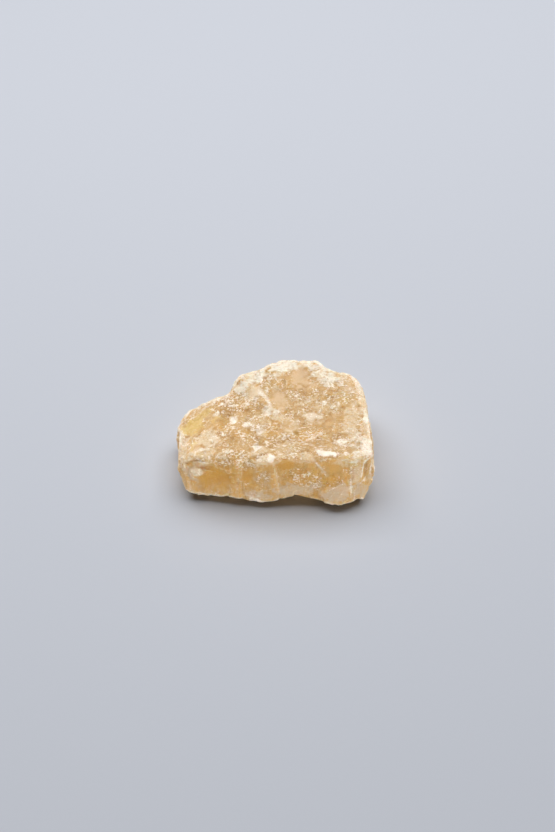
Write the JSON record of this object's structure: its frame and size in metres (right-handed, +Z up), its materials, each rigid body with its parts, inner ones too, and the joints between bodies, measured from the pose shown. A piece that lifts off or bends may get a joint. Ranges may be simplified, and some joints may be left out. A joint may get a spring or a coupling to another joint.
{
  "type": "raw calcite piece",
  "caption": "Broken chunk of massive orange calcite with a sugary top, a cleaved slabby front and pale translucent edges, lying on a flat base",
  "frame": {"origin": "middle of the footprint box, on the flat base that the piece rests on", "axes": "+X along the length of the piece, -Y is the cleaved front and +Y the weathered back, +Z up"},
  "size_m": [0.061, 0.0446, 0.0236],
  "materials": {
    "calcite": "translucent honey-orange calcite, sugary break, waxy cleavage faces, whitish bruised edges"
  },
  "bodies": {
    "root": {"calcite": "calcite"}
  },
  "joints": []
}
